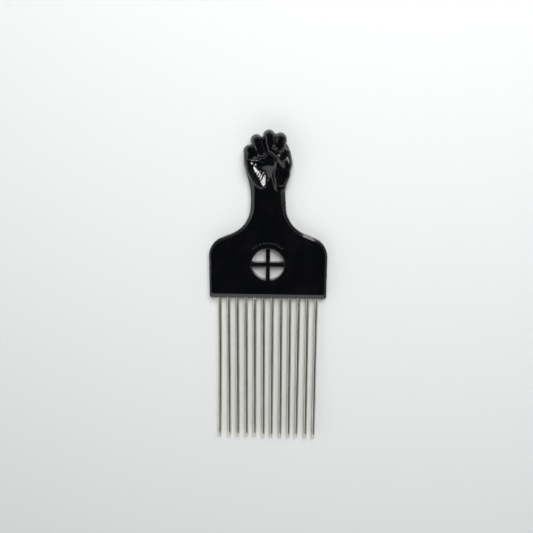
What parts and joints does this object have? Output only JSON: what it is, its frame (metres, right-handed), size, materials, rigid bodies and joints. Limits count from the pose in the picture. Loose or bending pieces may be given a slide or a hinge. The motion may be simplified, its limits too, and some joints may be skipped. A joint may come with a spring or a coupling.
{
  "type": "afro pick",
  "caption": "Afro pick with a moulded black handle that ends in a raised fist, a round cross window in its head, and long blunt steel wire tines.",
  "frame": {"origin": "middle of the part in plan, on the flat back face that it lies on", "axes": "+X across the head to the thumb side of the fist, +Y from the tine tips to the fist, +Z from the back face to the front face"},
  "size_m": [0.076, 0.208, 0.012],
  "materials": {
    "moulding": "glossy black injection moulding",
    "tine_wire": "satin nickel plate on round steel wire"
  },
  "bodies": {
    "root": {"handle": "moulding", "tine_01": "tine_wire", "tine_02": "tine_wire", "tine_03": "tine_wire", "tine_04": "tine_wire", "tine_05": "tine_wire", "tine_06": "tine_wire", "tine_07": "tine_wire", "tine_08": "tine_wire", "tine_09": "tine_wire", "tine_10": "tine_wire", "tine_11": "tine_wire", "tine_12": "tine_wire"}
  },
  "joints": []
}
